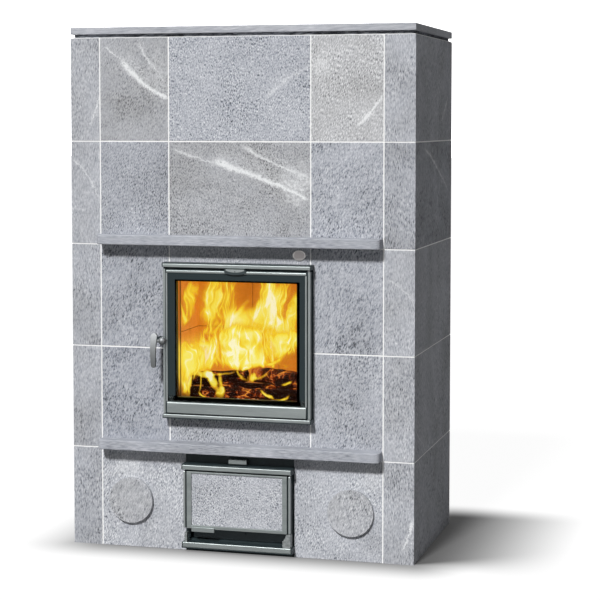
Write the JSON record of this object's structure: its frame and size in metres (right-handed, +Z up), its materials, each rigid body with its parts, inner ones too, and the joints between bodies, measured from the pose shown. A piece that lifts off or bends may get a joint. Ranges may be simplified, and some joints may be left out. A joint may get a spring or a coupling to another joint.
{
  "type": "tiled stove",
  "caption": "Tall free-standing soapstone tiled stove with a glazed fire door, an ash door under it, stone shelves and round cleaning covers.",
  "frame": {"origin": "middle of the base, on the floor", "axes": "+Z up, -Y out of the face with the doors, +Y out of the flue outlet in the back, +X to the right of a viewer who faces the doors"},
  "size_m": [1.148, 0.684, 1.7],
  "materials": {
    "soapstone": "honed, speckled and veined",
    "mortar": "smooth pale joint",
    "black_iron": "satin black",
    "bright_steel": "brushed grey",
    "pin_steel": "turned",
    "plaque_metal": "blank, satin",
    "clear_glass": "clear heat-proof",
    "rope": "braided heat-proof rope",
    "firebrick": "rough fired",
    "core_concrete": "cast, rough",
    "charred_wood": "burnt, glowing in its cracks",
    "mineral_board": "fibrous board",
    "sheet_steel": "dark sheet"
  },
  "bodies": {
    "stove_body": {"side_slabs": "soapstone", "back_slabs": "soapstone", "tile_row1_left": "soapstone", "tile_row1_middle": "soapstone", "tile_row1_right": "soapstone", "tile_row2_left": "soapstone", "tile_row2_middle": "soapstone", "tile_row2_right": "soapstone", "tile_row3_left": "soapstone", "tile_row3_right": "soapstone", "tile_row4_left": "soapstone", "tile_row4_right": "soapstone", "tile_row5_left": "soapstone", "tile_row5_right": "soapstone", "lintel_tile": "soapstone", "sill_tile": "soapstone", "neck_course": "soapstone", "top_slab": "soapstone", "upper_shelf": "soapstone", "lower_shelf": "soapstone", "joint_mortar": "mortar", "shelf_dowels": "pin_steel", "fire_door_hinge_pins": "pin_steel", "ash_hinge_pins": "pin_steel", "medallion": "plaque_metal", "flue_collar": "sheet_steel", "fire_door_casing": "black_iron", "latch_keeper": "black_iron", "ash_door_casing": "black_iron", "ash_door_brackets": "black_iron", "grate": "black_iron", "casing_trim_bars": "bright_steel", "core_masonry": "core_concrete", "core_slabs": "core_concrete", "logs_and_embers": "charred_wood", "firebox_floor": "firebrick", "firebox_lining": "firebrick", "insulation": "mineral_board"},
    "fire_door": {"fire_door_leaf": "black_iron", "fire_door_edge_bars": "bright_steel", "glass_beads": "bright_steel", "fire_door_band": "bright_steel", "fire_door_top_rails": "bright_steel", "fire_door_seals": "rope", "fire_door_glass": "clear_glass"},
    "air_wash": {"air_wash_slide": "bright_steel"},
    "door_handle": {"handle_lever": "bright_steel", "handle_spindle": "pin_steel", "latch_cam": "black_iron"},
    "ash_door": {"ash_door_leaf": "black_iron", "ash_stone_panel": "soapstone", "ash_panel_frame": "bright_steel", "ash_door_edge_bars": "bright_steel", "ash_finger_pull": "bright_steel"},
    "ash_box_body": {"ash_box": "sheet_steel"},
    "primary_air": {"primary_air_slide": "bright_steel"},
    "left_soot_body": {"left_soot_cover": "soapstone", "left_soot_plug": "sheet_steel"},
    "right_soot_body": {"right_soot_cover": "soapstone", "right_soot_plug": "sheet_steel"}
  },
  "joints": [
    {"name": "fire_door_hinge", "type": "hinge", "parent": "stove_body", "child": "fire_door", "pos_m": [0.238, -0.3295, 0.69], "axis": [0, 0, 1], "range_deg": [0, 120]},
    {"name": "air_wash_travel", "type": "slide", "parent": "fire_door", "child": "air_wash", "axis": [1, 0, 0], "range_m": [-0.007, 0.007]},
    {"name": "handle_turn", "type": "hinge", "parent": "fire_door", "child": "door_handle", "pos_m": [-0.245, -0.33, 0.6903], "axis": [0, 1, 0], "range_deg": [0, 90]},
    {"name": "ash_door_hinge", "type": "hinge", "parent": "stove_body", "child": "ash_door", "pos_m": [0.174, -0.3255, 0.17], "axis": [0, 0, 1], "range_deg": [0, 120]},
    {"name": "ash_box_travel", "type": "slide", "parent": "stove_body", "child": "ash_box_body", "axis": [0, -1, 0], "range_m": [0, 0.2]},
    {"name": "primary_air_travel", "type": "slide", "parent": "stove_body", "child": "primary_air", "axis": [1, 0, 0], "range_m": [-0.02, 0.02]},
    {"name": "left_soot_travel", "type": "slide", "parent": "stove_body", "child": "left_soot_body", "axis": [0, -1, 0], "range_m": [0, 0.08]},
    {"name": "right_soot_travel", "type": "slide", "parent": "stove_body", "child": "right_soot_body", "axis": [0, -1, 0], "range_m": [0, 0.08]}
  ],
  "couplings": [
    {"joint": "ash_box_travel", "follows": "ash_door_hinge", "m_per_rad": 0.0954}
  ]
}
